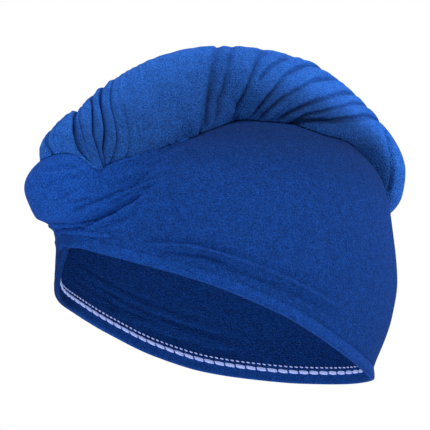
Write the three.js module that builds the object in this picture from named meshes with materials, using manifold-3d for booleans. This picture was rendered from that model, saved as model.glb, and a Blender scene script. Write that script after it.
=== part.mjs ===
// Hair turban towel, worn: a hollow cloth hood with its tail twisted from the
// forehead back over the crown. Millimetres. The origin is where the top of the
// head bears on the inside of the crown. -Y is the wearer's front, +X the
// wearer's left and +Z is up.
import * as THREE from 'three';
import { mergeVertices } from 'three/addons/utils/BufferGeometryUtils.js';
import Module from 'manifold-3d';

const wasm = await Module();
wasm.setup();

// Hood
const hoodWidth = 164;
const hoodLength = 227;
const hoodHeight = 167;
const wallThickness = 2.5;
const pouchReach = 36;
const pouchWidth = 98;
const pouchHeight = 80;
const tuckDepth = 2.4;
// Hem band
const hemHeight = 8;
const hemThickness = 3.6;
const lapLift = 3;
// Twisted roll
const rollWidth = 54;
const foldDepth = 3;
const rollTwist = 840;
// Loop over the tail
const loopWidth = 8;
const loopThickness = 1.6;
// Fits
const pieceGap = 0.3;

// Outline of the hood level by level. Heights are shares of hoodHeight above the
// nape, width is a share of half hoodWidth, front and back are shares of half
// hoodLength each way from the middle of the widest level.
const hoodLevels = [
  { height: 0.000, width: 0.854, front: 0.850, back: 0.834 },
  { height: 0.246, width: 0.976, front: 0.960, back: 0.984 },
  { height: 0.377, width: 1.000, front: 0.974, back: 1.018 },
  { height: 0.605, width: 0.988, front: 0.930, back: 0.984 },
  { height: 0.749, width: 0.915, front: 0.790, back: 0.928 },
  { height: 0.856, width: 0.732, front: 0.475, back: 0.792 },
  { height: 0.928, width: 0.524, front: 0.184, back: 0.644 },
  { height: 1.000, width: 0.000, front: -0.256, back: 0.256 },
];

// Lower edge of the hem around the head. Turn is in degrees from the front by
// the wearer's left, height is a share of hoodHeight above the nape.
const rimPath = [
  { turn: 0, height: 0.434 },
  { turn: 10, height: 0.427 },
  { turn: 20, height: 0.402 },
  { turn: 40, height: 0.349 },
  { turn: 60, height: 0.288 },
  { turn: 80, height: 0.211 },
  { turn: 90, height: 0.169 },
  { turn: 100, height: 0.124 },
  { turn: 110, height: 0.084 },
  { turn: 120, height: 0.052 },
  { turn: 135, height: 0.018 },
  { turn: 150, height: 0.004 },
  { turn: 180, height: 0.004 },
  { turn: 215, height: 0.015 },
  { turn: 235, height: 0.032 },
  { turn: 255, height: 0.059 },
  { turn: 275, height: 0.114 },
  { turn: 295, height: 0.189 },
  { turn: 315, height: 0.250 },
  { turn: 332, height: 0.280 },
  { turn: 345, height: 0.318 },
  { turn: 353, height: 0.384 },
  { turn: 360, height: 0.434 },
];

// Middle line of the roll from the forehead over the crown to the tail. Along is
// a share of half hoodLength from the middle of the widest level, height is a
// share of hoodHeight above the nape, width and depth are shares of rollWidth.
const rollPath = [
  { along: -1.000, height: 0.712, width: 0.62, depth: 0.62 },
  { along: -0.974, height: 0.778, width: 0.70, depth: 0.68 },
  { along: -0.885, height: 0.828, width: 0.70, depth: 0.67 },
  { along: -0.780, height: 0.870, width: 0.76, depth: 0.70 },
  { along: -0.660, height: 0.921, width: 0.87, depth: 0.84 },
  { along: -0.519, height: 0.967, width: 0.95, depth: 0.93 },
  { along: -0.378, height: 1.012, width: 1.00, depth: 0.99 },
  { along: -0.070, height: 1.076, width: 1.00, depth: 1.02 },
  { along: 0.186, height: 1.090, width: 1.00, depth: 1.01 },
  { along: 0.433, height: 1.074, width: 0.99, depth: 1.00 },
  { along: 0.665, height: 1.004, width: 0.96, depth: 0.95 },
  { along: 0.843, height: 0.916, width: 0.92, depth: 0.91 },
  { along: 0.950, height: 0.822, width: 0.87, depth: 0.87 },
  { along: 0.968, height: 0.738, width: 0.74, depth: 0.71 },
  { along: 0.956, height: 0.657, width: 0.50, depth: 0.40 },
  { along: 0.974, height: 0.584, width: 0.38, depth: 0.22 },
  { along: 1.000, height: 0.508, width: 0.33, depth: 0.12 },
];

// Creases between the folds of the roll. Phase is the crease's place around the
// roll at its start, in degrees from the wearer's left side, from and to are the
// shares of the roll's length that it runs over, depth is a share of foldDepth
// and spread is half the crease's width in degrees.
const rollCreases = [
  { phase: 15, from: 0.30, to: 0.97, depth: 0.7, spread: 22 },
  { phase: 85, from: 0.00, to: 0.97, depth: 1.0, spread: 26 },
  { phase: 170, from: 0.42, to: 0.97, depth: 0.8, spread: 22 },
  { phase: 220, from: 0.42, to: 0.97, depth: 0.8, spread: 20 },
  { phase: 264, from: 0.44, to: 0.97, depth: 0.6, spread: 18 },
  { phase: 298, from: 0.00, to: 0.90, depth: 1.0, spread: 22 },
  { phase: 340, from: 0.00, to: 0.34, depth: 0.9, spread: 20 },
];

// A smooth curve through the rows of a table, without overshoot.
function curveThrough(at, values) {
  const last = at.length - 1;
  const slopes = [];
  for (let i = 0; i < last; i += 1) {
    slopes.push((values[i + 1] - values[i]) / (at[i + 1] - at[i]));
  }
  const tangents = [slopes[0]];
  for (let i = 1; i < last; i += 1) {
    const before = slopes[i - 1];
    const after = slopes[i];
    if (before * after <= 0) {
      tangents.push(0);
    } else {
      const stepBefore = at[i] - at[i - 1];
      const stepAfter = at[i + 1] - at[i];
      const weightBefore = 2 * stepAfter + stepBefore;
      const weightAfter = stepAfter + 2 * stepBefore;
      tangents.push((weightBefore + weightAfter) / (weightBefore / before + weightAfter / after));
    }
  }
  tangents.push(slopes[last - 1]);
  return (x) => {
    let i = 0;
    while (i < last - 1 && x > at[i + 1]) {
      i += 1;
    }
    const span = at[i + 1] - at[i];
    const t = THREE.MathUtils.clamp((x - at[i]) / span, 0, 1);
    const rest = 1 - t;
    return rest * rest * (1 + 2 * t) * values[i]
      + t * t * (3 - 2 * t) * values[i + 1]
      + rest * rest * t * span * tangents[i]
      - t * t * rest * span * tangents[i + 1];
  };
}

const levelHeights = hoodLevels.map((row) => row.height);
const widthSquared = curveThrough(levelHeights, hoodLevels.map((row) => row.width ** 2));
const lengthSquared = curveThrough(levelHeights, hoodLevels.map((row) => ((row.front + row.back) / 2) ** 2));
const middleShare = curveThrough(levelHeights, hoodLevels.map((row) => (row.back - row.front) / 2));
const rimHeight = curveThrough(rimPath.map((row) => row.turn), rimPath.map((row) => row.height));

// The crown's top row stands over the origin.
const crown = hoodLevels[hoodLevels.length - 1];
const napeZ = wallThickness - hoodHeight;
const middleY = -crown.back * hoodLength / 2;

function wrapTurn(turn) {
  return ((turn % 360) + 360) % 360;
}

// Height of the hood's lower edge, which stands on the hem band.
function hoodEdge(turn) {
  return rimHeight(wrapTurn(turn)) * hoodHeight + hemHeight + pieceGap;
}

// How far the front pouch stands out from the dome.
function pouchAt(turn, height) {
  const angle = THREE.MathUtils.degToRad(turn);
  if (Math.cos(angle) <= 0) {
    return 0;
  }
  const across = Math.sin(angle) * hoodWidth / pouchWidth;
  const above = (height - 0.74 * hoodHeight) / (pouchHeight / 2);
  const reach = 1 - across * across - above * above;
  return reach > 0 ? pouchReach * reach ** 0.95 : 0;
}

// A small tuck of folded cloth between the pouch and the hem.
function tuckAt(turn, height) {
  const side = ((turn + 180) % 360) - 180;
  const above = (height - 0.5 * hoodHeight) / (0.03 * hoodHeight);
  return tuckDepth * Math.exp(-((side / 26) ** 2) - above ** 2);
}

// A point of the hood's outer face, by turn in degrees and height above the nape.
function hoodPoint(turn, height) {
  const share = THREE.MathUtils.clamp(height / hoodHeight, 0, 1);
  const angle = THREE.MathUtils.degToRad(turn);
  const out = pouchAt(wrapTurn(turn), height) + tuckAt(wrapTurn(turn), height);
  const halfWidth = Math.sqrt(Math.max(widthSquared(share), 0)) * hoodWidth / 2 + out;
  const halfLength = Math.sqrt(Math.max(lengthSquared(share), 0)) * hoodLength / 2 + out;
  return new THREE.Vector3(
    halfWidth * Math.sin(angle),
    middleY + middleShare(share) * hoodLength / 2 - halfLength * Math.cos(angle),
    napeZ + height,
  );
}

const hoodTurns = 60;
const hoodRows = 20;

// Turns crowd towards the front, where the pouch needs them.
function hoodTurn(i) {
  const even = 2 * Math.PI * i / hoodTurns;
  return THREE.MathUtils.radToDeg(even - 0.35 * Math.sin(even));
}

function hoodGrid() {
  const rows = [];
  for (let j = 0; j < hoodRows; j += 1) {
    const climb = 1 - (1 - j / hoodRows) ** 1.7;
    const row = [];
    for (let i = 0; i < hoodTurns; i += 1) {
      const turn = hoodTurn(i);
      const edge = hoodEdge(turn);
      row.push(hoodPoint(turn, edge + (hoodHeight - edge) * climb));
    }
    rows.push(row);
  }
  return { rows, top: hoodPoint(0, hoodHeight) };
}

// The grid moved along its own normals.
function movedGrid(grid, distance) {
  const { rows, top } = grid;
  const moved = rows.map((row, j) => row.map((point, i) => {
    const next = row[(i + 1) % row.length];
    const before = row[(i + row.length - 1) % row.length];
    const above = j + 1 < rows.length ? rows[j + 1][i] : top;
    const below = j > 0 ? rows[j - 1][i] : point;
    const around = new THREE.Vector3().subVectors(next, before);
    const up = new THREE.Vector3().subVectors(above, below);
    const normal = around.cross(up).normalize();
    return point.clone().addScaledVector(normal, distance);
  }));
  return { rows: moved, top: top.clone().add(new THREE.Vector3(0, 0, distance)) };
}

function geometryFrom(positions, triangles) {
  const geometry = new THREE.BufferGeometry();
  geometry.setAttribute('position', new THREE.Float32BufferAttribute(positions.flatMap((p) => p.toArray()), 3));
  geometry.setIndex(triangles);
  geometry.computeVertexNormals();
  return geometry;
}

// Two triangles of a quad, cut along its shorter diagonal.
function quad(positions, triangles, a, b, c, d) {
  if (positions[a].distanceTo(positions[c]) < positions[b].distanceTo(positions[d])) {
    triangles.push(a, b, c, a, c, d);
  } else {
    triangles.push(a, b, d, b, c, d);
  }
}

function addDome(grid, positions, triangles, outwards) {
  const first = positions.length;
  const count = grid.rows[0].length;
  grid.rows.forEach((row) => positions.push(...row));
  positions.push(grid.top);
  const top = positions.length - 1;
  for (let j = 0; j < grid.rows.length - 1; j += 1) {
    for (let i = 0; i < count; i += 1) {
      const a = first + j * count + i;
      const b = first + j * count + (i + 1) % count;
      if (outwards) {
        quad(positions, triangles, a, b, b + count, a + count);
      } else {
        quad(positions, triangles, b, a, a + count, b + count);
      }
    }
  }
  const lastRow = first + (grid.rows.length - 1) * count;
  for (let i = 0; i < count; i += 1) {
    const a = lastRow + i;
    const b = lastRow + (i + 1) % count;
    triangles.push(...(outwards ? [a, b, top] : [b, a, top]));
  }
  return first;
}

function hoodShell() {
  const positions = [];
  const triangles = [];
  const outer = hoodGrid();
  const inner = movedGrid(outer, -wallThickness);
  const outerFirst = addDome(outer, positions, triangles, true);
  const innerFirst = addDome(inner, positions, triangles, false);
  for (let i = 0; i < hoodTurns; i += 1) {
    const next = (i + 1) % hoodTurns;
    quad(positions, triangles, innerFirst + i, innerFirst + next, outerFirst + next, outerFirst + i);
  }
  return geometryFrom(positions, triangles);
}

// The whole room that the hood takes up, grown by a clearance and closed below.
function hoodRoom(clearance) {
  const positions = [];
  const triangles = [];
  const grown = movedGrid(hoodGrid(), clearance);
  const first = addDome(grown, positions, triangles, true);
  positions.push(new THREE.Vector3(0, middleY, napeZ + 0.2 * hoodHeight));
  const middle = positions.length - 1;
  for (let i = 0; i < hoodTurns; i += 1) {
    triangles.push(first + (i + 1) % hoodTurns, first + i, middle);
  }
  return geometryFrom(positions, triangles);
}

// The hem band: a folded strip that starts outside its own end at the forehead,
// passes by the wearer's left, the nape and the right, and ends under its start.
function hemBand() {
  const turns = [];
  for (let i = -1; i <= hoodTurns + 1; i += 1) {
    turns.push(hoodTurn(i));
  }
  const startTurn = turns[0];
  const endTurn = turns[turns.length - 1];
  const corner = hemThickness * 0.28;
  const inside = -(wallThickness + hemThickness) / 2;
  const outside = inside + hemThickness;
  const section = [
    [inside + corner, 0],
    [outside - corner, 0],
    [outside, corner],
    [outside, hemHeight - corner],
    [outside - corner, hemHeight],
    [inside + corner, hemHeight],
    [inside, hemHeight - corner],
    [inside, corner],
  ];
  const lap = curveThrough([startTurn, 9, 24, endTurn], [1, 1, 0, 0]);
  const lift = curveThrough([startTurn, 8, endTurn], [1, 0, 0]);
  const positions = [];
  const triangles = [];
  turns.forEach((turn) => {
    const height = rimHeight(wrapTurn(turn)) * hoodHeight + lift(turn) * lapLift;
    const seam = Math.max(hoodEdge(turn), height + hemHeight);
    const point = hoodPoint(turn, seam);
    const along = new THREE.Vector3().subVectors(hoodPoint(turn + 1, seam), hoodPoint(turn - 1, seam));
    const outwards = new THREE.Vector3(along.y, -along.x, 0).normalize();
    const layer = lap(turn) * (hemThickness + pieceGap);
    section.forEach(([offset, up]) => {
      const corner3 = point.clone().addScaledVector(outwards, offset + layer);
      corner3.z = napeZ + height + up;
      positions.push(corner3);
    });
  });
  const stations = turns.length - 1;
  const count = section.length;
  for (let j = 0; j < stations; j += 1) {
    for (let i = 0; i < count; i += 1) {
      const a = j * count + i;
      const b = j * count + (i + 1) % count;
      quad(positions, triangles, b, a, a + count, b + count);
    }
  }
  const endFirst = stations * count;
  for (let i = 1; i < count - 1; i += 1) {
    triangles.push(0, i, i + 1);
    triangles.push(endFirst, endFirst + i + 1, endFirst + i);
  }
  return geometryFrom(positions, triangles);
}

const rollLine = new THREE.CatmullRomCurve3(
  rollPath.map((row) => new THREE.Vector3(
    0,
    middleY + row.along * hoodLength / 2,
    napeZ + row.height * hoodHeight,
  )),
  false,
  'centripetal',
);
const rollLength = rollLine.getLength();
const rowShares = rollPath.map((row, i) => i / (rollPath.length - 1));
const rollHalfWidth = curveThrough(rowShares, rollPath.map((row) => row.width * rollWidth / 2));
const rollHalfDepth = curveThrough(rowShares, rollPath.map((row) => row.depth * rollWidth / 2));

function angleBetween(a, b) {
  return Math.abs(((a - b + 540) % 360 + 360) % 360 - 180);
}

// How far the creases sink into the roll, at a phase and a share of its length.
function creaseAt(phase, share) {
  let sunk = 0;
  rollCreases.forEach((crease) => {
    const apart = angleBetween(phase, crease.phase) / crease.spread;
    if (apart < 1) {
      const fade = THREE.MathUtils.smoothstep(share, crease.from - 0.06, crease.from + 0.02)
        * (1 - THREE.MathUtils.smoothstep(share, crease.to - 0.08, crease.to));
      sunk = Math.max(sunk, crease.depth * fade * (1 - apart) ** 1.5);
    }
  });
  return sunk * foldDepth;
}

// Phases of the columns: every crease has one, and the rest lie evenly between.
function columnPhases(count) {
  const phases = rollCreases.map((crease) => crease.phase);
  while (phases.length < count) {
    phases.sort((a, b) => a - b);
    let widest = 0;
    let place = 0;
    phases.forEach((phase, i) => {
      const next = i + 1 < phases.length ? phases[i + 1] : phases[0] + 360;
      if (next - phase > widest + 1e-6) {
        widest = next - phase;
        place = phase + widest / 2;
      }
    });
    phases.push(place);
  }
  return phases.sort((a, b) => a - b);
}

// A length of the roll between two shares of its path, grown by a clearance.
function rollLengthOf(from, to, stations, columns, grow, creased) {
  const phases = creased ? columnPhases(columns) : Array.from({ length: columns }, (_, i) => 360 * i / columns);
  const positions = [];
  const triangles = [];
  for (let j = 0; j <= stations; j += 1) {
    const row = from + (to - from) * j / stations;
    const centre = rollLine.getPoint(row);
    const tangent = rollLine.getTangent(row);
    const outwards = new THREE.Vector3(0, -tangent.z, tangent.y);
    phases.forEach((phase) => {
      const angle = THREE.MathUtils.degToRad(phase + (creased ? row * rollTwist : 0));
      const fullness = THREE.MathUtils.clamp(rollHalfDepth(row) / (rollWidth / 2), 0, 1);
      const sunk = creased ? creaseAt(phase, row) * fullness : 0;
      const point = centre.clone();
      point.x += (rollHalfWidth(row) + grow - sunk) * Math.cos(angle);
      point.addScaledVector(outwards, (rollHalfDepth(row) + grow - sunk) * Math.sin(angle));
      positions.push(point);
    });
  }
  for (let j = 0; j < stations; j += 1) {
    for (let i = 0; i < columns; i += 1) {
      const a = j * columns + i;
      const b = j * columns + (i + 1) % columns;
      quad(positions, triangles, b, a, a + columns, b + columns);
    }
  }
  const endFirst = stations * columns;
  positions.push(rollLine.getPoint(from));
  positions.push(rollLine.getPoint(to));
  const startMiddle = positions.length - 2;
  const endMiddle = positions.length - 1;
  for (let i = 0; i < columns; i += 1) {
    const next = (i + 1) % columns;
    triangles.push(i, next, startMiddle);
    triangles.push(endFirst + next, endFirst + i, endMiddle);
  }
  return geometryFrom(positions, triangles);
}

function solidFrom(geometry) {
  const bare = new THREE.BufferGeometry();
  bare.setAttribute('position', geometry.getAttribute('position'));
  bare.setIndex(geometry.getIndex());
  const merged = mergeVertices(bare, 1e-5);
  return new wasm.Manifold(new wasm.Mesh({
    numProp: 3,
    vertProperties: new Float32Array(merged.getAttribute('position').array),
    triVerts: new Uint32Array(merged.getIndex().array),
  }));
}

function geometryOf(solid) {
  const mesh = solid.getMesh();
  const geometry = new THREE.BufferGeometry();
  geometry.setAttribute('position', new THREE.BufferAttribute(new Float32Array(mesh.vertProperties), 3));
  geometry.setIndex(new THREE.BufferAttribute(new Uint32Array(mesh.triVerts), 1));
  geometry.computeVertexNormals();
  return geometry;
}

// The roll is pressed on the hood, so its underside takes the hood's form.
const hoodClearance = solidFrom(hoodRoom(pieceGap));
const roll = solidFrom(rollLengthOf(0, 1, 58, 44, 0, true)).subtract(hoodClearance);

// The loop arches over the flat tail and comes down on the hood at both sides.
const loopMiddle = 0.955;
const loopShare = loopWidth / rollLength;
const loopOuter = solidFrom(rollLengthOf(
  loopMiddle - loopShare / 2,
  loopMiddle + loopShare / 2,
  4,
  28,
  pieceGap + loopThickness,
  false,
));
const loopInner = solidFrom(rollLengthOf(loopMiddle - loopShare, Math.min(loopMiddle + loopShare, 1), 8, 28, pieceGap, false));
const loop = loopOuter.subtract(loopInner).subtract(hoodClearance);

const group = new THREE.Group();

function addPiece(name, geometry, colour) {
  const material = new THREE.MeshStandardMaterial({ color: colour, roughness: 0.95 });
  const mesh = new THREE.Mesh(geometry, material);
  mesh.name = name;
  group.add(mesh);
}

addPiece('hood', hoodShell(), 0x1b4791);
addPiece('hem', hemBand(), 0x1f4d98);
addPiece('twist', geometryOf(roll), 0x2a5cb0);
addPiece('loop', geometryOf(loop), 0x16356e);

export default group;
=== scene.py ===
# Hair turban towel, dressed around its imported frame
import bpy
import bmesh
import math
from mathutils import Vector, Matrix


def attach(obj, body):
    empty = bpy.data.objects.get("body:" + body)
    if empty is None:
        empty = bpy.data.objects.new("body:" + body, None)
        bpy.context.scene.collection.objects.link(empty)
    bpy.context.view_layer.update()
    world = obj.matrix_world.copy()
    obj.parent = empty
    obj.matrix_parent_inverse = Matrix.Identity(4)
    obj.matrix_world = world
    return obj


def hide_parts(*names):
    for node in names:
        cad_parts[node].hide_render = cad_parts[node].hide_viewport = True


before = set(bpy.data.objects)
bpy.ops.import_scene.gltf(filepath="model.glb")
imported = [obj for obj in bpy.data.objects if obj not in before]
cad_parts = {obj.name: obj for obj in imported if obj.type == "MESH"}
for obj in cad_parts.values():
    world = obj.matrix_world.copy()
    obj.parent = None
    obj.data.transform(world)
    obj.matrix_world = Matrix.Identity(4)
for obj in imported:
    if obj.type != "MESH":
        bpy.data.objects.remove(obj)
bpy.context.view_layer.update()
print("frame loaded")

# The photograph looks up a little at the wearer's front left.
camera = {
    "azimuth": 60,
    "elevation": -9,
    "distance": 1.3,
    "lens": 175.5,
    "target": (0.0006, -0.0369, -0.0635),
}

azimuth = math.radians(camera["azimuth"])
elevation = math.radians(camera["elevation"])
towardCamera = Vector((
    math.sin(azimuth) * math.cos(elevation),
    -math.cos(azimuth) * math.cos(elevation),
    math.sin(elevation),
))
cameraData = bpy.data.cameras.new("photoCamera")
cameraData.lens = camera["lens"]
cameraData.sensor_width = 36
cameraData.clip_start = 0.05
cameraObject = bpy.data.objects.new("photoCamera", cameraData)
bpy.context.scene.collection.objects.link(cameraObject)
cameraObject.location = Vector(camera["target"]) + towardCamera * camera["distance"]
cameraObject.rotation_euler = towardCamera.to_track_quat("Z", "Y").to_euler()
bpy.context.scene.camera = cameraObject
print("camera placed")


def curveThrough(rows, column):
    # smooth curve through one column of a table, without overshoot
    at = [row[0] for row in rows]
    values = [row[column] for row in rows]
    last = len(at) - 1
    slopes = [(values[i + 1] - values[i]) / (at[i + 1] - at[i]) for i in range(last)]
    tangents = [slopes[0]]
    for i in range(1, last):
        before, after = slopes[i - 1], slopes[i]
        if before * after <= 0:
            tangents.append(0.0)
        else:
            a = 2 * (at[i + 1] - at[i]) + (at[i] - at[i - 1])
            b = (at[i + 1] - at[i]) + 2 * (at[i] - at[i - 1])
            tangents.append((a + b) / (a / before + b / after))
    tangents.append(slopes[-1])

    def value(x):
        i = 0
        while i < last - 1 and x > at[i + 1]:
            i += 1
        span = at[i + 1] - at[i]
        t = min(max((x - at[i]) / span, 0.0), 1.0)
        rest = 1 - t
        return (rest * rest * (1 + 2 * t) * values[i] + t * t * (3 - 2 * t) * values[i + 1]
                + rest * rest * t * span * tangents[i] - t * t * rest * span * tangents[i + 1])
    return value


def smoothStep(x, low, high):
    t = min(max((x - low) / (high - low), 0.0), 1.0)
    return t * t * (3 - 2 * t)


def signed(angle):
    # the same angle from -180 to 180
    return (angle + 180) % 360 - 180


def lineDistance(points, x, y, scaleX, scaleY):
    # nearest distance in millimetres to a drawn line, the side of it and how far along it lies
    best, side, along = 1e9, 1.0, 0.0
    count = len(points) - 1
    for i in range(count):
        ax, ay = points[i]
        bx, by = points[i + 1]
        dx, dy = (bx - ax) * scaleX, (by - ay) * scaleY
        px, py = signed(x - ax) * scaleX, (y - ay) * scaleY
        t = min(max((px * dx + py * dy) / (dx * dx + dy * dy), 0.0), 1.0)
        distance = math.hypot(px - t * dx, py - t * dy)
        if distance < best:
            best, side, along = distance, px * dy - py * dx, (i + t) / count
    return best, side, along


def clothGrid(columns, rows):
    # a flat unit grid with the layers that every cloth piece has
    bm = bmesh.new()
    bmesh.ops.create_grid(bm, x_segments=columns, y_segments=rows, size=0.5, calc_uvs=False)
    uvLayer = bm.loops.layers.uv.new("cloth")
    tone = bm.verts.layers.float.new("tone")
    for face in bm.faces:
        for loop in face.loops:
            loop[uvLayer].uv = (loop.vert.co.x + 0.5, loop.vert.co.y + 0.5)
    return bm, uvLayer, tone


def finishMesh(bm, name, smooth=True):
    mesh = bpy.data.meshes.new(name)
    bm.to_mesh(mesh)
    bm.free()
    obj = bpy.data.objects.new(name, mesh)
    bpy.context.scene.collection.objects.link(obj)
    for face in mesh.polygons:
        face.use_smooth = smooth
    return obj


def applyModifiers(obj):
    depsgraph = bpy.context.evaluated_depsgraph_get()
    mesh = bpy.data.meshes.new_from_object(obj.evaluated_get(depsgraph))
    obj.modifiers.clear()
    obj.data = mesh


# metres, degrees of turn from the front, and shares of the height
hood = {
    "width": 0.164,
    "length": 0.227,
    "height": 0.167,
    "wall": 0.0025,
    "pouchReach": 0.036,
    "pouchWidth": 0.098,
    "pouchHeight": 0.080,
    "pouchMiddle": 0.74,
    "pouchRound": 0.95,
    "tuck": 0.0024,
    "tuckMiddle": 0.5,
    "tuckSpread": 0.03,
    "tuckTurn": 26,
    "uneven": 0.0005,
    "mmPerDegree": 1.65,
    "turns": 300,
    "rows": 118,
    "roomTurns": 120,
    "roomRows": 60,
    "closerFront": 0.6,
    "closerEdge": 1.7,
    "crownForward": 0.256,
}
# height, half width, front and back as shares, as in the part
hoodLevels = [
    (0.000, 0.854, 0.850, 0.834),
    (0.246, 0.976, 0.960, 0.984),
    (0.377, 1.000, 0.974, 1.018),
    (0.605, 0.988, 0.930, 0.984),
    (0.749, 0.915, 0.790, 0.928),
    (0.856, 0.732, 0.475, 0.792),
    (0.928, 0.524, 0.184, 0.644),
    (1.000, 0.000, -0.256, 0.256),
]
# lower edge of the hem: turn from the front by the wearer's left, height share
rimPath = [
    (0, 0.434), (10, 0.427), (20, 0.402), (40, 0.349), (60, 0.288), (80, 0.211), (90, 0.169),
    (100, 0.124), (110, 0.084), (120, 0.052), (135, 0.018), (150, 0.004), (180, 0.004),
    (215, 0.015), (235, 0.032), (255, 0.059), (275, 0.114), (295, 0.189), (315, 0.250),
    (332, 0.280), (345, 0.318), (353, 0.384), (360, 0.434),
]
hem = {
    "height": 0.008,
    "thickness": 0.0036,
    "lift": 0.003,
    "gap": 0.0003,
    "overlap": 0.0012,
    "setIn": 0.0002,
    "roundThick": 0.55,
    "roundTall": 0.35,
    "needleLow": 0.62,
    "needleHigh": 0.97,
    "needleDent": 0.00035,
    "columns": 240,
    "sides": 28,
    "closerFront": 0.35,
    "ends": (0.60, 0.82, 0.93, 0.98),
    "farBrow": (308, 326),
    "farShade": 0.42,
}

halfLength = hood["length"] / 2
napeZ = hood["wall"] - hood["height"]
middleY = -hood["crownForward"] * halfLength
levelRows = [(h, w * w, ((f + b) / 2) ** 2, (b - f) / 2) for h, w, f, b in hoodLevels]
widthSquared = curveThrough(levelRows, 1)
lengthSquared = curveThrough(levelRows, 2)
middleShare = curveThrough(levelRows, 3)
rimShare = curveThrough(rimPath, 1)


def rimHeight(turn):
    return rimShare(turn % 360) * hood["height"]


def hoodEdge(turn):
    return rimHeight(turn) + hem["height"] + hem["gap"]


# Creases pressed in the panels: points of turn and height in millimetres above
# the nape, then depth and half width in millimetres. A ridge has a depth below 0.
hoodCreases = [
    {"points": [(38, 104), (33, 97.5), (26, 91.5), (17, 87), (8, 83.5), (-3, 85)],
        "depth": 3.9, "width": 2.3},
    {"points": [(36, 112), (31, 106), (26, 101), (18, 94.5), (8, 91)], "depth": 1.9, "width": 1.4},
    {"points": [(42, 107), (36, 104), (31, 100.5), (21, 93), (10, 87.5)], "depth": 1.7, "width": 1.3},
    {"points": [(38, 117), (33, 112), (29, 107), (25, 103)], "depth": 1.2, "width": 1.2},
    {"points": [(24, 99.5), (18, 98.5), (12, 95), (6, 93)], "depth": 1.0, "width": 1.4},
    {"points": [(30, 92), (21, 87.5), (13, 82.5), (4, 81)], "depth": 2.4, "width": 1.7},
    {"points": [(-14, 89.5), (-4, 88.5), (8, 86), (20, 84)], "depth": 2.4, "width": 1.6},
    {"points": [(-12, 85.5), (-2, 85), (8, 83), (20, 80.5)], "depth": 1.6, "width": 1.4},
    {"points": [(22, 84), (30, 86), (38, 90)], "depth": 1.2, "width": 1.8},
    {"points": [(16, 79.5), (24, 76.5), (33, 73)], "depth": 1.4, "width": 1.4},
    {"points": [(30, 66), (36, 66)], "depth": 1.4, "width": 1.8},
    {"points": [(34, 63.5), (46, 60.5), (59, 58)], "depth": 1.5, "width": 1.9},
    {"points": [(38, 66), (48, 64), (56, 63)], "depth": 0.9, "width": 1.6},
    {"points": [(32, 67.5), (44, 69.5), (54, 68.5), (63, 65), (74, 59), (87, 51), (102, 41), (116, 31)],
        "depth": -1.9, "width": 1.7},
    {"points": [(34, 71.5), (46, 73), (58, 71), (70, 64)], "depth": 0.7, "width": 1.5},
    {"points": [(38, 65), (50, 66), (60, 63.5), (70, 58)], "depth": 1.5, "width": 1.4},
    {"points": [(64, 59), (80, 50), (96, 39.5), (112, 27)], "depth": 1.0, "width": 1.8},
    {"points": [(24, 114), (28, 119), (31, 122.5), (33, 128), (34.5, 134), (36, 141)],
        "depth": -3.6, "width": 2.3},
    {"points": [(25, 111), (30, 113), (35, 118), (39, 124)], "depth": 1.2, "width": 1.8},
    {"points": [(24, 107), (31, 109), (38, 115)], "depth": 1.0, "width": 1.7},
    {"points": [(25, 102), (33, 106), (42, 113)], "depth": 0.9, "width": 1.7},
    {"points": [(19, 115), (12, 117), (4, 116)], "depth": 1.4, "width": 1.8},
    {"points": [(20, 111), (12, 109), (4, 105)], "depth": 1.0, "width": 2.2},
    {"points": [(21, 107), (14, 102), (8, 97)], "depth": 0.9, "width": 2.2},
    {"points": [(324, 98), (334, 93), (345, 90), (354, 89)], "depth": 1.6, "width": 2.3},
    {"points": [(326, 88), (336, 84), (345, 82)], "depth": 0.9, "width": 1.8},
    {"points": [(322, 64), (295, 50), (275, 37), (255, 28), (235, 23)], "depth": 0.9, "width": 1.5},
    {"points": [(310, 55), (290, 43), (270, 30), (248, 22), (220, 18)], "depth": 0.9, "width": 1.4},
    {"points": [(300, 58), (280, 46), (262, 37)], "depth": 0.8, "width": 1.6},
    {"points": [(318, 74), (292, 60), (268, 46), (246, 36)], "depth": 0.7, "width": 1.8},
    {"points": [(300, 48), (270, 38), (240, 25)], "depth": 0.9, "width": 3.0},
]
# the pouch hangs full just above its tuck: degrees, millimetres, and metres outwards
pouchFullness = {"turn": 2, "high": 93, "turnSpread": 24, "highSpread": 6.5, "out": 0.0042}
# fine puckers that slant up from the pinch, and others across the pouch
puckerFields = [
    {"turn": 33, "high": 107, "turnSpread": 11, "highSpread": 13, "out": 0.0006, "rise": 0.8,
        "lean": 1.05, "pitch": 2.3, "sway": 1.6, "swayTurn": 0.31, "swayHigh": 0.17},
    {"turn": 17, "high": 93, "turnSpread": 17, "highSpread": 8, "out": 0.0007, "rise": 0.92,
        "lean": 0.62, "pitch": 2.2, "sway": 1.3, "swayTurn": 0.23, "swayHigh": -0.21},
]


def fieldAt(side, mm, field):
    # 1 in the middle of a field on the hood, fading out round it
    across = (side - field["turn"]) / field["turnSpread"]
    above = (mm - field["high"]) / field["highSpread"]
    return math.exp(-across ** 2 - above ** 2)


def grooveAt(x):
    # a groove with a low ridge on both sides, x in half widths
    return 0.45 * math.exp(-(x - 1.6) ** 2 * 1.6) - math.exp(-x * x * 2.2)


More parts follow.
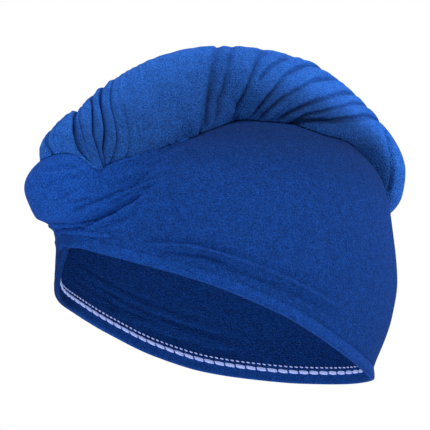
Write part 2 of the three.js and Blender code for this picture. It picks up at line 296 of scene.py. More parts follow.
def hoodDetail(turn, height):
    # creases and slight unevenness, in metres outwards
    out = 0.0
    mm = height * 1000
    for crease in hoodCreases:
        reach = 3 * crease["width"]
        heights = [point[1] for point in crease["points"]]
        if mm < min(heights) - reach or mm > max(heights) + reach:
            continue
        distance, _, along = lineDistance(crease["points"], turn, mm, hood["mmPerDegree"], 1)
        if distance < reach:
            fade = smoothStep(along, -0.02, 0.2) * (1 - smoothStep(along, 0.8, 1.02))
            out += fade * crease["depth"] * 0.001 * grooveAt(distance / crease["width"])
    angle = math.radians(turn)
    side = signed(turn)
    out += hood["uneven"] * math.sin(3 * angle + mm * 0.045) * math.sin(2 * angle - mm * 0.03)
    out += pouchFullness["out"] * fieldAt(side, mm, pouchFullness)
    for field in puckerFields:
        puckered = fieldAt(side, mm, field)
        if puckered > 0.02:
            across = mm * field["rise"] - side * field["lean"]
            sway = field["sway"] * math.sin(side * field["swayTurn"] + mm * field["swayHigh"])
            out += field["out"] * puckered * math.sin(across * field["pitch"] + sway)
    return out * smoothStep(height - hoodEdge(turn), 0.0, 0.005)  # the edge itself stays even


def pouchAt(turn, height):
    angle = math.radians(turn)
    if math.cos(angle) <= 0:
        return 0.0
    across = math.sin(angle) * hood["width"] / hood["pouchWidth"]
    above = (height - hood["pouchMiddle"] * hood["height"]) / (hood["pouchHeight"] / 2)
    reach = 1 - across * across - above * above
    return hood["pouchReach"] * reach ** hood["pouchRound"] if reach > 0 else 0.0


def tuckAt(turn, height):
    above = (height - hood["tuckMiddle"] * hood["height"]) / (hood["tuckSpread"] * hood["height"])
    return hood["tuck"] * math.exp(-(signed(turn) / hood["tuckTurn"]) ** 2 - above ** 2)


def hoodPoint(turn, height, detail=True):
    share = min(max(height / hood["height"], 0.0), 1.0)
    angle = math.radians(turn)
    out = pouchAt(turn, height) + tuckAt(turn, height)
    if detail:
        out += hoodDetail(turn, height) * smoothStep(1 - share, 0.0, 0.12)
    halfW = math.sqrt(max(widthSquared(share), 0.0)) * hood["width"] / 2 + out
    halfL = math.sqrt(max(lengthSquared(share), 0.0)) * halfLength + out
    return Vector((
        halfW * math.sin(angle),
        middleY + middleShare(share) * halfLength - halfL * math.cos(angle),
        napeZ + height,
    ))


# where the painted highlight over the bunched cloth and the painted shade on the upper panels go: turns and
# heights in millimetres
bunching = {
    "turns": (14, 46),
    "low": (74, 92),
    "high": (128, 146),
    "upperShade": (96, 150),
    "plainTone": 0.5,
    "upperShadeDrop": 0.46,
}


def hoodTone(turn, height):
    # painted shade and highlight: near 0 on the upper panels, painted darker there, up to 1 where the cloth
    # is bunched over the brow, painted lighter there
    mm = height * 1000
    bunched = 1 - smoothStep(abs(signed(turn)), *bunching["turns"])
    bunched *= smoothStep(mm, *bunching["low"]) * (1 - smoothStep(mm, *bunching["high"]))
    upper = smoothStep(mm, *bunching["upperShade"])
    plain = bunching["plainTone"]
    return plain + (1 - plain) * bunched - bunching["upperShadeDrop"] * upper * (1 - bunched)


def hoodSurface(turns, rows, grow=0.0):
    # a flat grid wrapped round the head, open below
    bm, _, tone = clothGrid(turns, rows)
    for vert in bm.verts:
        u, v = vert.co.x + 0.5, vert.co.y + 0.5
        even = 2 * math.pi * u
        turn = math.degrees(even - hood["closerFront"] * math.sin(even))
        edge = hoodEdge(turn) - hem["overlap"]
        climb = 1 - (1 - v) ** hood["closerEdge"]
        height = edge + (hood["height"] - edge) * climb
        vert[tone] = hoodTone(turn, height)
        vert.co = hoodPoint(turn, height)
    bmesh.ops.remove_doubles(bm, verts=bm.verts, dist=1e-6)
    bmesh.ops.recalc_face_normals(bm, faces=bm.faces)
    bm.normal_update()
    for vert in bm.verts:
        vert.co += vert.normal * grow
    return bm


hoodPiece = finishMesh(hoodSurface(hood["turns"], hood["rows"]), "hoodCloth")
wall = hoodPiece.modifiers.new("wall", "SOLIDIFY")
wall.thickness = hood["wall"]
wall.offset = -1
applyModifiers(hoodPiece)
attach(hoodPiece, "root")
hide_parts("hood")
print("hood made")

twist = {
    "width": 0.054,
    "fold": 0.0036,
    "turn": 840,
    "columns": 220,
    "stations": 380,
    "mmLong": 300,
    "mmPerDegree": 0.45,
    "drawnIn": 0.0009,
    "deepest": 1.9,
    "deepestFold": 3.6,
    "leftCalm": 0.88,
    "lobeCalm": 0.93,
    "reachAngle": -35,
    "reachSpread": 85,
    "reachFade": (0.60, 0.70),
}
# along from the hood's middle, height, width and depth as shares, as in the part
rollRows = [
    (-1.000, 0.712, 0.62, 0.36),
    (-0.974, 0.778, 0.70, 0.56),
    (-0.885, 0.828, 0.70, 0.66),
    (-0.780, 0.870, 0.76, 0.70),
    (-0.660, 0.921, 0.87, 0.84),
    (-0.519, 0.967, 0.95, 0.93),
    (-0.378, 1.012, 1.00, 0.99),
    (-0.070, 1.076, 1.00, 1.02),
    (0.186, 1.090, 1.00, 1.01),
    (0.433, 1.074, 0.99, 1.00),
    (0.665, 1.004, 0.96, 0.95),
    (0.843, 0.916, 0.92, 0.91),
    (0.950, 0.822, 0.87, 0.87),
    (0.968, 0.738, 0.74, 0.71),
    (0.956, 0.657, 0.50, 0.40),
    (0.974, 0.584, 0.38, 0.22),
    (1.000, 0.508, 0.33, 0.12),
]
rollTable = [(i / (len(rollRows) - 1),) + row for i, row in enumerate(rollRows)]
rollAlong = curveThrough(rollTable, 1)
rollHigh = curveThrough(rollTable, 2)
rollWide = curveThrough(rollTable, 3)
rollDeep = curveThrough(rollTable, 4)

# phase at the roll's start, the shares it runs between, depth in folds and half width in degrees
rollCreases = [
    {"phase": 31, "from": 0.33, "to": 0.52, "depth": 1.1, "spread": 22},
    {"phase": 18, "from": 0.38, "to": 0.60, "depth": 0.5, "spread": 10},
    {"phase": 331, "from": 0.40, "to": 0.70, "depth": 0.9, "spread": 18},
    {"phase": 315, "from": 0.46, "to": 0.62, "depth": 0.3, "spread": 8},
    {"phase": 293, "from": 0.44, "to": 0.72, "depth": 1.1, "spread": 18},
    {"phase": 269, "from": 0.47, "to": 0.74, "depth": 0.9, "spread": 15},
    {"phase": 251, "from": 0.50, "to": 0.72, "depth": 0.45, "spread": 9},
    {"phase": 232, "from": 0.50, "to": 0.76, "depth": 0.9, "spread": 15},
    {"phase": 211, "from": 0.53, "to": 0.76, "depth": 0.8, "spread": 13},
    {"phase": 188, "from": 0.55, "to": 0.80, "depth": 1.0, "spread": 17},
    {"phase": 165, "from": 0.58, "to": 0.80, "depth": 0.6, "spread": 14},
    {"phase": 138, "from": 0.60, "to": 0.82, "depth": 0.8, "spread": 18},
    {"phase": 92, "from": 0.52, "to": 0.86, "depth": 0.9, "spread": 24},
    {"phase": 52, "from": 0.56, "to": 0.84, "depth": 0.6, "spread": 18},
    {"phase": 37, "from": 0.00, "to": 0.20, "depth": 1.2, "spread": 20},
    {"phase": 12, "from": 0.00, "to": 0.18, "depth": 0.35, "spread": 9},
    {"phase": 322, "from": 0.00, "to": 0.28, "depth": 1.8, "spread": 20},
    {"phase": 304, "from": 0.00, "to": 0.26, "depth": 0.4, "spread": 8},
    {"phase": 270, "from": 0.00, "to": 0.32, "depth": 1.1, "spread": 14},
    {"phase": 244, "from": 0.00, "to": 0.34, "depth": 1.3, "spread": 14},
    {"phase": 218, "from": 0.00, "to": 0.32, "depth": 0.5, "spread": 10},
    {"phase": 190, "from": 0.00, "to": 0.30, "depth": 0.25, "spread": 9},
]


def rollCentre(share):
    y = middleY + rollAlong(share) * halfLength
    return Vector((0, y, napeZ + rollHigh(share) * hood["height"]))


def creaseShape(apart):
    # each fold lies over the next one, so one side of its crease is steeper
    x = abs(apart) * (1.7 if apart > 0 else 0.85)
    return 0.95 * math.exp(-(x / 0.2) ** 2) + 0.42 * max(0, 1 - x) ** 1.5


def rollSink(phase, share):
    # how far the creases sink in, as a share of the fold depth
    sunk = 0.0
    for crease in rollCreases:
        apart = signed(phase - crease["phase"]) / crease["spread"]
        if -1.6 < apart < 1.6:
            fade = smoothStep(share, crease["from"] - 0.05, crease["from"] + 0.03)
            fade *= 1 - smoothStep(share, crease["to"] - 0.1, crease["to"])
            sunk += crease["depth"] * fade * creaseShape(apart)
    left = leftShare(share, phase + share * twist["turn"])
    return min(sunk, twist["deepest"]) * (1 - twist["leftCalm"] * left)


# folds on the wearer's left: share and section angle along each, depth and reach in millimetres
rollFolds = [
    {"points": [(0.366, -32), (0.375, -20), (0.390, -3), (0.403, 13), (0.422, 37), (0.441, 75),
                (0.45, 95)],
        "depth": 2.0, "reach": 6.5},
    {"points": [(0.386, -34), (0.403, -4), (0.428, 20), (0.454, 61), (0.466, 90)],
        "depth": 1.4, "reach": 5},
    {"points": [(0.420, -24), (0.436, -10), (0.452, 5), (0.468, 21), (0.493, 55), (0.508, 90)],
        "depth": 1.8, "reach": 5.5},
    {"points": [(0.474, 10), (0.485, 20), (0.502, 33), (0.525, 49), (0.545, 86)],
        "depth": 1.4, "reach": 4.5},
    {"points": [(0.458, -33), (0.478, -15), (0.499, 3), (0.517, 21), (0.545, 40), (0.575, 63),
                (0.60, 90)],
        "depth": 2.1, "reach": 6},
    {"points": [(0.475, -35), (0.491, -21), (0.512, -5), (0.546, 12), (0.578, 34), (0.612, 74)],
        "depth": 1.7, "reach": 5.5},
    {"points": [(0.505, -34), (0.528, -20), (0.560, -6), (0.582, 7), (0.609, 35), (0.642, 76)],
        "depth": 2.1, "reach": 6},
    {"points": [(0.53, -36), (0.554, -23), (0.585, -8), (0.610, 10), (0.643, 45), (0.668, 78)],
        "depth": 1.8, "reach": 5.5},
    {"points": [(0.52, -42), (0.548, -31), (0.604, -14), (0.637, 8), (0.668, 45), (0.695, 82)],
        "depth": 3.2, "reach": 7},
    {"points": [(0.82, -4), (0.79, 0), (0.743, 6), (0.708, 24), (0.680, 46)],
        "depth": 1.8, "reach": 9},
]
# where the last lobe begins, as section angle and share
lobeStart = curveThrough([
    (-180, 0.70), (-90, 0.545), (-42, 0.535), (-31, 0.552), (-14, 0.606), (8, 0.64), (45, 0.672),
    (82, 0.698), (180, 0.70),
], 1)


foldWindow = {"share": (0.35, 0.84), "angle": (-80, 120)}


def foldSink(share, turned):
    # how far the folds seen from the wearer's left sink in, in millimetres
    angle = signed(turned)
    firstShare, lastShare = foldWindow["share"]
    lowest, highest = foldWindow["angle"]
    if not (firstShare < share < lastShare and lowest < angle < highest):
        return 0.0
    sunk = 0.0
    for fold in rollFolds:
        distance, side, along = lineDistance(
            fold["points"], share, angle, twist["mmLong"], twist["mmPerDegree"])
        if distance < 1.2 * fold["reach"]:
            ends = smoothStep(along, -0.02, 0.12) * (1 - smoothStep(along, 0.86, 1.0))
            sunk += fold["depth"] * ends * creaseShape(math.copysign(distance / fold["reach"], -side))
    return min(sunk, twist["deepestFold"])


def leftShare(share, turned):
    # 1 where the folds above take the place of the wound creases
    return smoothStep(share, 0.33, 0.38) * (1 - smoothStep(abs(signed(turned - 10)), 75, 105))


def rollCalm(share, turned):
    # the last lobe, beyond the long fold, hangs smooth
    return 1 - twist["lobeCalm"] * smoothStep(share - lobeStart(signed(turned)), -0.005, 0.02)


# where the roll's lower left side lands on the hood: share, turn, height in millimetres
rollReach = [
    (0.000, 24, 114), (0.120, 25, 117), (0.170, 29, 121), (0.210, 32, 124), (0.245, 33, 128),
    (0.280, 35, 133), (0.320, 35, 138), (0.345, 38, 141.5), (0.390, 38, 148.5), (0.420, 39, 156),
    (0.450, 49, 156), (0.480, 60, 154.5), (0.530, 81, 153), (0.574, 94, 150), (0.612, 107, 146.5),
    (0.648, 118, 141), (0.690, 129, 136), (1.000, 129, 136),
]
reachTurn = curveThrough(rollReach, 1)
reachHeight = curveThrough(rollReach, 2)
rollStations = {}


def rollStation(share):
    # centre, outward direction and half sizes of the roll at one station, and its pull to the hood
    key = round(share, 6)
    if key not in rollStations:
        tangent = rollCentre(min(share + 0.004, 1)) - rollCentre(max(share - 0.004, 0))
        tangent.normalize()
        outwards = Vector((0, -tangent.z, tangent.y))
        halfW = rollWide(share) * twist["width"] / 2
        halfD = rollDeep(share) * twist["width"] / 2
        centre = rollCentre(share)
        lean = math.radians(twist["reachAngle"])
        corner = centre + outwards * halfD * math.sin(lean)
        corner.x += halfW * math.cos(lean)
        pull = hoodPoint(reachTurn(share), reachHeight(share) / 1000, False) - corner
        pull *= 1 - smoothStep(share, *twist["reachFade"])
        rollStations[key] = (centre, outwards, halfW, halfD, pull)
    return rollStations[key]


# slight waves of the wound cloth: height, waves round, sway, waves along, shift
rollRipples = [
    (0.00022, 13, 9, 17, 0),
    (0.00016, 23, 7, 11, 1),
]


def rollPoint(phase, share, grow=0.0, creased=True):
    centre, outwards, halfW, halfD, pull = rollStation(share)
    sunk = 0.0
    turned = phase + (share * twist["turn"] if creased else 0)
    angle = math.radians(turned)
    point = centre.copy()
    if creased:
        fullness = min(halfD / (twist["width"] / 2), 1)
        ripple = 0.0
        for high, waves, sway, alongWaves, shift in rollRipples:
            swayed = sway * math.sin(share * alongWaves + shift)
            ripple += high * math.sin(math.radians(phase * waves) + swayed)
        wound = (rollSink(phase, share) * twist["fold"] + ripple) * rollCalm(share, turned)
        sunk = (wound - twist["drawnIn"]) * fullness + 0.001 * foldSink(share, turned)
        # the cloth on the wearer's left is drawn down to the pinch and on to the hood
        apart = signed(turned - twist["reachAngle"]) / twist["reachSpread"]
        if -1 < apart < 1:
            point += pull * (1 - apart * apart) ** 2
    point.x += (halfW + grow - sunk) * math.cos(angle)
    point += outwards * ((halfD + grow - sunk) * math.sin(angle))
    return point


# painted shade: how much of the tone the roll's front half keeps, what the low side towards the hood and the
# creases take off it, and its least value
rollShade = {"front": 0.80, "lowFront": 0.50, "lowBack": 0.62, "crease": 0.24, "least": 0.12}


def rollTone(phase, share):
    # painted light and shade: 1 on the lit top of a fold, painted darker in its crease, towards the hood and
    # over the roll's front half
    turned = signed(phase + share * twist["turn"])
    back = smoothStep(share, 0.40, 0.56)
    front = (1 - back) * smoothStep(share, 0.02, 0.10)
    lowSide = smoothStep(-turned, -75, 8) * front + smoothStep(-turned, -22, 12) * back
    crease = rollSink(phase, share) * rollCalm(share, turned) + 0.5 * foldSink(share, turned)
    full = rollShade["front"] + (1 - rollShade["front"]) * smoothStep(share, 0.46, 0.66)
    low = rollShade["lowFront"] + (rollShade["lowBack"] - rollShade["lowFront"]) * back
    lit = 1 - low * lowSide - rollShade["crease"] * min(crease, 1.3)
    return full * max(lit, rollShade["least"])


def rollTube(start, end, columns, stations, grow, creased):
    # the roll from one share to another, closed at both ends
    bm, uvLayer, tone = clothGrid(columns, stations)
    for face in bm.faces:
        for loop in face.loops:
            loop[uvLayer].uv.y = start + (end - start) * (loop.vert.co.y + 0.5)
    for vert in bm.verts:
        phase, share = 360 * (vert.co.x + 0.5), start + (end - start) * (vert.co.y + 0.5)
        vert[tone] = rollTone(phase, share) if creased else 0.8
        vert.co = rollPoint(phase, share, grow, creased)
    bmesh.ops.remove_doubles(bm, verts=bm.verts, dist=1e-6)
    ends = [edge for edge in bm.edges if edge.is_boundary]
    bmesh.ops.holes_fill(bm, edges=ends, sides=0)
    bmesh.ops.recalc_face_normals(bm, faces=bm.faces)
    return bm


def closedRoom(grow):
    # the room the hood takes up, closed across its opening
    bm = hoodSurface(hood["roomTurns"], hood["roomRows"], grow)
    rim = [edge for edge in bm.edges if edge.is_boundary]
    bmesh.ops.holes_fill(bm, edges=rim, sides=0)
    lid = [face for face in bm.faces if len(face.verts) > 4]
    bmesh.ops.poke(bm, faces=lid)
    bmesh.ops.recalc_face_normals(bm, faces=bm.faces)
    return finishMesh(bm, "hoodRoom")


def cutWith(obj, cutter):
    # the exact solver leaves nothing of so finely creased a roll
    cut = obj.modifiers.new("cut", "BOOLEAN")
    cut.operation = "DIFFERENCE"
    cut.solver = "MANIFOLD"
    cut.object = cutter
    applyModifiers(obj)


hoodRoom = closedRoom(hem["gap"])
rollPiece = finishMesh(rollTube(0, 1, twist["columns"], twist["stations"], 0, True), "twistedRoll")
cutWith(rollPiece, hoodRoom)
for face in rollPiece.data.polygons:
    face.use_smooth = True
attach(rollPiece, "root")
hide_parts("twist")
print("roll made", len(rollPiece.data.polygons))

keeper = {
    "width": 0.008,
    "thickness": 0.0016,
    "middle": 0.955,
    "columns": 64,
    "stations": 10,
}


def keeperTube(reach, grow, name):
    # a plain ring round the tail, reach being its half width as a share of the roll
    start = keeper["middle"] - reach
    end = min(keeper["middle"] + reach, 1)
    return finishMesh(rollTube(start, end, keeper["columns"], keeper["stations"], grow, False), name)


keeperShare = keeper["width"] * 1000 / twist["mmLong"]
loopPiece = keeperTube(keeperShare / 2, hem["gap"] + keeper["thickness"], "tailLoop")
loopRoom = keeperTube(keeperShare, hem["gap"], "loopRoom")
cutWith(loopPiece, loopRoom)
cutWith(loopPiece, hoodRoom)
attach(loopPiece, "root")
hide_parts("loop")
bpy.data.objects.remove(loopRoom)
bpy.data.objects.remove(hoodRoom)
print("loop made")

# the band's ends lap over each other at the brow, so it goes round a little further than once
hemTurns = []
for i in range(-len(hem["ends"]), hem["columns"] + len(hem["ends"]) + 1):
    even = 2 * math.pi * i / hem["columns"]
    hemTurns.append(math.degrees(even - hem["closerFront"] * math.sin(even)))
hemStart, hemEnd = hemTurns[0], hemTurns[-1]
hemMiddle = hem["setIn"] - hem["thickness"] / 2
# layers under the band, and how far it is lifted, both over turn
hemLap = curveThrough([(hemStart, 0.5), (9, 0.5), (24, 0), (hemEnd, 0)], 1)
hemLift = curveThrough([(hemStart, 1), (8, 0), (hemEnd, 0)], 1)


def hemFrame(turn):
    # a point of the hem's top line on the hood's outer face, and its directions
    height = rimHeight(turn) + hemLift(turn) * hem["lift"]
    seam = max(hoodEdge(turn), height + hem["height"])
    point = hoodPoint(turn, seam, False)
    along = hoodPoint(turn + 1, seam, False) - hoodPoint(turn - 1, seam, False)
    outwards = Vector((along.y, -along.x, 0)).normalized()
    return point, outwards, height


def hemPoint(turn, offset, up):
    point, outwards, height = hemFrame(turn)
    layer = hemLap(turn) * (hem["thickness"] + hem["gap"])
    place = point + outwards * (offset + layer)
    place.z = napeZ + height + up
    return place


def hemSection(share):
    # offset from the hood's outer face and height, once round the folded band
    c, s = math.cos(2 * math.pi * share), math.sin(2 * math.pi * share)
    offset = hemMiddle + hem["thickness"] / 2 * math.copysign(abs(c) ** hem["roundThick"], c)
    up = hem["height"] / 2 * (1 + math.copysign(abs(s) ** hem["roundTall"], s))
    # the two needle lines pull the band in a little just under its top edge
    drawn = (up / hem["height"] - hem["needleLow"]) / (hem["needleHigh"] - hem["needleLow"])
    if 0 < drawn < 1:
        offset -= math.copysign(hem["needleDent"], c) * math.sin(math.pi * drawn)
    return offset, up


def foldedBand():
    last = len(hemTurns) - 1
    bm, _, tone = clothGrid(last, hem["sides"])
    for vert in bm.verts:
        index = round((vert.co.x + 0.5) * last)
        fromEnd = min(index, last - index)
        full = hem["ends"][fromEnd] if fromEnd < len(hem["ends"]) else 1.0  # rounded ends
        offset, up = hemSection(vert.co.y + 0.5)
        offset = -hem["thickness"] / 2 + (offset + hem["thickness"] / 2) * full
        up = hem["height"] / 2 + (up - hem["height"] / 2) * full
        # the far brow lies in the shade of the pouch
        vert[tone] = 1 - hem["farShade"] * smoothStep(hemTurns[index], *hem["farBrow"])
        vert.co = hemPoint(hemTurns[index], offset, up)
    bmesh.ops.remove_doubles(bm, verts=bm.verts, dist=1e-6)
    bmesh.ops.holes_fill(bm, edges=[edge for edge in bm.edges if edge.is_boundary], sides=0)
    bmesh.ops.recalc_face_normals(bm, faces=bm.faces)
    return bm


hemPiece = finishMesh(foldedBand(), "foldedHem")
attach(hemPiece, "root")
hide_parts("hem")
print("hem made")

browFolds = {
    "radius": 0.0024,
    "flat": 0.85,
    "tall": 1.15,
    "taper": 0.6,
    "uneven": 0.25,
    "tone": 0.85,
    "sides": 14,
    "steps": 44,
}
# turns and heights in millimetres at both ends, how far it bows up, share of the radius
browFoldRows = [
    (-13, 84.5, 27, 76.5, 1.0, 1.00),
    (-12, 88.0, 21, 82.5, 1.2, 0.85),
    (-6, 81.0, 18, 77.0, 0.6, 0.80),
    (6, 86.0, 30, 84.5, -0.6, 0.55),
    (22.5, 110.0, 37.5, 141.0, -3.2, 0.80),
]


def bunchedFolds():
    # slim rolls of cloth, half sunk in the hood, pointed at both ends
    bm = bmesh.new()
    bm.loops.layers.uv.new("cloth")
    tone = bm.verts.layers.float.new("tone")
    for startTurn, startHeight, endTurn, endHeight, bow, size in browFoldRows:
        made = bmesh.ops.create_grid(
            bm, x_segments=browFolds["steps"], y_segments=browFolds["sides"], size=0.5, calc_uvs=False)
        for vert in made["verts"]:
            u, v = vert.co.x + 0.5, vert.co.y + 0.5
            turn = startTurn + (endTurn - startTurn) * u
            height = startHeight + (endHeight - startHeight) * u + bow * math.sin(math.pi * u)
            height += browFolds["uneven"] * math.sin(9 * u + startHeight)
            radius = browFolds["radius"] * size * max(math.sin(math.pi * u), 0.0) ** browFolds["taper"]
            point = hoodPoint(turn, height / 1000, False)
            outwards = Vector((point.x, point.y - middleY, 0)).normalized()
            # painted highlight: the folds' tone is set lighter than the plain panels'
            vert[tone] = browFolds["tone"]
            vert.co = point + outwards * (radius * browFolds["flat"] * math.cos(2 * math.pi * v))
            vert.co.z += radius * browFolds["tall"] * math.sin(2 * math.pi * v)
    bmesh.ops.remove_doubles(bm, verts=bm.verts, dist=1e-6)
    bmesh.ops.recalc_face_normals(bm, faces=bm.faces)
    return bm


foldPiece = finishMesh(bunchedFolds(), "browFolds")
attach(foldPiece, "root")
print("brow folds made", len(foldPiece.data.polygons))

stitch = {
    "pitch": 0.0070,
    "long": 0.0065,
    "strand": 0.0006,
    "strandGap": 0.00062,
    "thinLong": 0.0024,
    "thinStrand": 0.00048,
    "thinAt": (0.1, 0.6),
    "thinUp": 0.0107,
    "thickUp": 0.0074,
    "rise": 0.0002,
    "proud": 0.0002,
    "lean": 0.06,
    "fan": 0.02,
    "flat": 0.9,
    "turns": (14, 362),
    "steps": 2600,
}


def addStitch(bm, start, end, inwards, radius):
    # one thread between two points, thicker in its middle
    middle = (start + end) / 2
    direction = end - start
    length = direction.length
    direction.normalize()
    side = inwards.cross(direction).normalized()
    turn = Matrix((direction, side, inwards)).transposed().to_4x4()
    size = Matrix.Diagonal((length / 2, radius, radius * stitch["flat"], 1))
    bmesh.ops.create_uvsphere(
        bm, u_segments=8, v_segments=6, radius=1,
        matrix=Matrix.Translation(middle) @ turn @ size @ Matrix.Rotation(math.pi / 2, 4, "Y"))


def innerPlace(turn, up):
    # a point on the inside of the band, or of the hood above it
    if up < hem["height"]:
        depth = hemMiddle - hem["thickness"] / 2
    else:
        depth = -hood["wall"] - stitch["proud"]
    _, outwards, _ = hemFrame(turn)
    return hemPoint(turn, depth, up), -outwards


def stitchTurns():
    # turns at equal steps along the rim
    first, final = stitch["turns"]
    turns, walked = [], 0.0
    last, _ = innerPlace(first, stitch["thickUp"])
    for i in range(1, stitch["steps"]):
        turn = first + (final - first) * i / stitch["steps"]
        here, _ = innerPlace(turn, stitch["thickUp"])
        walked += (here - last).length
        last = here
        if walked >= stitch["pitch"]:
            turns.append(turn)
            walked -= stitch["pitch"]
    return turns


def layThread(bm, place, reach, up, proud, radius):
    # place and reach are turns; the thread climbs a little on its way
    start, inwards = innerPlace(place, up - stitch["rise"])
    end, _ = innerPlace(place + reach, up + stitch["rise"])
    addStitch(bm, start + inwards * proud, end + inwards * proud, inwards, radius)


def coverStitching():
    # three strands side by side for each wide stitch, two short ones above it
    bm = bmesh.new()
    turns = stitchTurns()
    for a, b in zip(turns, turns[1:]):
        reach = (b - a) * stitch["long"] / stitch["pitch"]
        for k in (-1, 0, 1):
            place = a + (b - a) * (stitch["lean"] + stitch["fan"] * k)
            up = stitch["thickUp"] + k * stitch["strandGap"]
            layThread(bm, place, reach, up, stitch["proud"], stitch["strand"])
        reach = (b - a) * stitch["thinLong"] / stitch["pitch"]
        for part in stitch["thinAt"]:
            layThread(bm, a + (b - a) * part, reach, stitch["thinUp"], 0, stitch["thinStrand"])
    return bm


stitchPiece = finishMesh(coverStitching(), "coverStitch")
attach(stitchPiece, "root")
print("stitches made", len(stitchPiece.data.polygons))


def linearColour(hexText):
    values = []
    for i in (0, 2, 4):
        c = int(hexText[i:i + 2], 16) / 255
        values.append(c / 12.92 if c <= 0.04045 else ((c + 0.055) / 1.055) ** 2.4)
    return (*values, 1)


def addNode(tree, kind, settings=None, links=None):
    # settings go to properties or sockets, links join a socket to (node, output)
    node = tree.nodes.new(kind)
    for name, value in (settings or {}).items():
        if isinstance(name, str) and hasattr(node, name):
            setattr(node, name, value)
        else:
            node.inputs[name].default_value = value
    for name, (source, output) in (links or {}).items():
        tree.links.new(source.outputs[output], node.inputs[name])
    return node


def towelCloth(name, look):
    # looped microfibre, its sizes in millimetres: a fine nap over loops and wider patches
    material = bpy.data.materials.new(name)
    material.use_nodes = True
    tree = material.node_tree
    tree.nodes.clear()
    coordinates = addNode(tree, "ShaderNodeTexCoord")
    place = addNode(tree, "ShaderNodeMapping", {"Scale": (1000, 1000, 1000)},
                    {"Vector": (coordinates, "Object")})
    loops = addNode(tree, "ShaderNodeTexVoronoi", {"Scale": 1 / look["loop"]}, {"Vector": (place, 0)})
    nap = addNode(tree, "ShaderNodeTexNoise", {"Scale": 1 / look["nap"], "Detail": 3.0, "Roughness": 0.65},
                  {"Vector": (place, 0)})
    patches = addNode(tree, "ShaderNodeTexNoise", {"Scale": 1 / look["patch"], "Detail": 2.0},
                      {"Vector": (place, 0)})
    # the nap's roots are dark and its tips light
    napRamp = addNode(tree, "ShaderNodeMapRange", {"From Min": 0.3, "From Max": 0.7}, {"Value": (nap, 0)})
    base = addNode(tree, "ShaderNodeMix", {"data_type": "RGBA"}, {0: (napRamp, 0)})
    base.inputs[6].default_value = linearColour(look["dark"])
    base.inputs[7].default_value = linearColour(look["light"])
    # patches of pile brushed either way
    shade = addNode(tree, "ShaderNodeMapRange", {
        "From Min": 0.35, "From Max": 0.65, "To Min": 1 - look["mottle"], "To Max": 1 + look["mottle"],
    }, {"Value": (patches, 0)})
    if look.get("toned"):
        # painted light and shade: the colour is darker where the tone is low and lighter where it is high
        tone = addNode(tree, "ShaderNodeAttribute", {"attribute_name": "tone"})
        level = addNode(tree, "ShaderNodeMapRange", {"To Min": look["toned"][0], "To Max": look["toned"][1]},
                        {"Value": (tone, "Fac")})
        shade = addNode(tree, "ShaderNodeMath", {"operation": "MULTIPLY"}, {0: (shade, 0), 1: (level, 0)})
    grey = addNode(tree, "ShaderNodeCombineColor", {}, {0: (shade, 0), 1: (shade, 0), 2: (shade, 0)})
    colour = addNode(tree, "ShaderNodeMix", {"data_type": "RGBA", "blend_type": "MULTIPLY", 0: 1.0},
                     {6: (base, 2), 7: (grey, 0)})
    height = addNode(tree, "ShaderNodeMath", {"operation": "MULTIPLY_ADD", 1: 0.6},
                     {0: (nap, 0), 2: (loops, 0)})
    last = addNode(tree, "ShaderNodeBump", {"Strength": look["bump"], "Distance": 0.0006},
                   {"Height": (height, 0)})
    if look.get("streak"):
        # fine folds that run along the cloth's own lay
        uv = addNode(tree, "ShaderNodeUVMap", {"uv_map": "cloth"})
        lay = addNode(tree, "ShaderNodeMapping", {"Scale": look["streak"]}, {"Vector": (uv, 0)})
        folds = addNode(tree, "ShaderNodeTexNoise", {"Scale": 1.0, "Detail": 2.0, "Roughness": 0.5},
                        {"Vector": (lay, 0)})
        last = addNode(tree, "ShaderNodeBump", {"Strength": look["streakBump"], "Distance": 0.002},
                       {"Height": (folds, 0), "Normal": (last, 0)})
    shader = addNode(tree, "ShaderNodeBsdfPrincipled", {
        "Roughness": 0.95,
        "Specular IOR Level": 0.06,
        "Sheen Weight": look["sheen"],
        "Sheen Roughness": 0.45,
        "Sheen Tint": linearColour(look["sheenTint"]),
    }, {"Base Color": (colour, 2), "Normal": (last, 0)})
    if look.get("paintedGlow"):
        # painted light: the thread glows a little so it stays light inside the dark opening
        shader.inputs["Emission Color"].default_value = linearColour(look["light"])
        shader.inputs["Emission Strength"].default_value = look["paintedGlow"]
    addNode(tree, "ShaderNodeOutputMaterial", {}, {"Surface": (shader, 0)})
    return material


# deep even blue with a close grain; its tone range paints shade on the upper panels and a highlight over the
# bunched brow
panelCloth = towelCloth("brushedMicrofibrePanel", {
    "dark": "051f54", "light": "1b51ac", "nap": 0.8, "loop": 1.2, "patch": 4.0, "mottle": 0.10,
    "bump": 1.0, "sheen": 0.03, "sheenTint": "3a6ad8", "toned": (0.36, 1.44)})
# brighter, softer blue, partly its raised nap and partly painted light where the top light falls on every
# fold
rollCloth = towelCloth("napAndPaintedLightMicrofibre", {
    "dark": "051f5c", "light": "2e6fd0", "nap": 0.75, "loop": 1.2, "patch": 6.0, "mottle": 0.09,
    "bump": 1.2, "sheen": 0.10, "sheenTint": "4a80ea",
    "streak": (34, 5, 1), "streakBump": 0.35, "toned": (0.05, 1.45)})
# the panels' blue, pressed smoother where the edge is turned
hemCloth = towelCloth("turnedMicrofibreHem", {
    "dark": "051f54", "light": "1b51ac", "nap": 0.8, "loop": 1.2, "patch": 4.0, "mottle": 0.10,
    "bump": 0.7, "sheen": 0.05, "sheenTint": "3a6ad8", "toned": (0.0, 1.0)})
# a darker, tight band that reads as a separate piece
loopCloth = towelCloth("wovenElastic", {
    "dark": "0d2458", "light": "173a7c", "nap": 0.8, "loop": 0.9, "patch": 6.0, "mottle": 0.04,
    "bump": 0.4, "sheen": 0.1, "sheenTint": "6f93d8"})
# pale lilac thread, the one light line inside the dark opening, with a little painted glow
stitchThread = towelCloth("spunPolyesterThread", {
    "dark": "7896f6", "light": "c6d4ff", "nap": 0.6, "loop": 0.5, "patch": 5.0, "mottle": 0.05,
    "bump": 0.3, "sheen": 0.05, "sheenTint": "ffffff", "paintedGlow": 0.20})

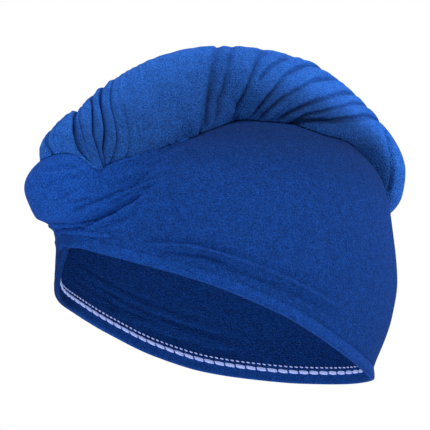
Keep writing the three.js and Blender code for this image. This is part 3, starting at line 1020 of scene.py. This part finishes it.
dressing = [
    (hoodPiece, panelCloth, "hood"),
    (rollPiece, rollCloth, "twist"),
    (hemPiece, hemCloth, "hem"),
    (foldPiece, panelCloth, "hood"),
    (loopPiece, loopCloth, "loop"),
    (stitchPiece, stitchThread, "hem"),
]
for piece, material, slotName in dressing:
    piece.data.materials.clear()
    piece.data.materials.append(material)
print("materials made")

# white paper below, well clear of the towel
floorSize = 3
floorLevel = -0.55
floorMesh = bmesh.new()
bmesh.ops.create_grid(floorMesh, x_segments=4, y_segments=4, size=floorSize)
bmesh.ops.translate(floorMesh, verts=floorMesh.verts, vec=(0, 0, floorLevel))
floor = finishMesh(floorMesh, "paleFloor", smooth=False)
paper = bpy.data.materials.new("mattWhitePaper")
paper.use_nodes = True
paperShader = paper.node_tree.nodes["Principled BSDF"]
paperShader.inputs["Base Color"].default_value = linearColour("f4f4f4")
paperShader.inputs["Roughness"].default_value = 0.9
floor.data.materials.append(paper)

world = bpy.data.worlds.new("studio")
world.use_nodes = True
studioTree = world.node_tree
# the camera sees plain white behind the towel, and a softer, cooler fill lights it
backdrop = studioTree.nodes["Background"]
backdrop.inputs["Color"].default_value = (1, 1, 1, 1)
backdrop.inputs["Strength"].default_value = 1.0
fill = addNode(studioTree, "ShaderNodeBackground", {"Color": (0.93, 0.96, 1, 1), "Strength": 0.5})
rays = addNode(studioTree, "ShaderNodeLightPath")
studio = addNode(studioTree, "ShaderNodeMixShader", {},
                 {0: (rays, "Is Camera Ray"), 1: (fill, 0), 2: (backdrop, 0)})
studioTree.links.new(studio.outputs[0], studioTree.nodes["World Output"].inputs["Surface"])
bpy.context.scene.world = world
bpy.context.scene.view_settings.view_transform = "Standard"

# one above the front, one above the back and a weak one from below
lightAim = Vector((0, -0.03, -0.05))
lights = [
    {"name": "keyLight", "place": (0.15, -0.75, 1.05), "size": 0.4, "power": 9},
    {"name": "topLight", "place": (0.55, 0.75, 0.85), "size": 0.4, "power": 15},
    {"name": "lowLight", "place": (0.55, -0.65, -0.50), "size": 0.4, "power": 4},
]
for light in lights:
    data = bpy.data.lights.new(light["name"], "AREA")
    data.size = light["size"]
    data.energy = light["power"]
    lamp = bpy.data.objects.new(light["name"], data)
    bpy.context.scene.collection.objects.link(lamp)
    lamp.location = light["place"]
    aim = Vector(light["place"]) - lightAim
    lamp.rotation_euler = aim.to_track_quat("Z", "Y").to_euler()
print("lights placed")
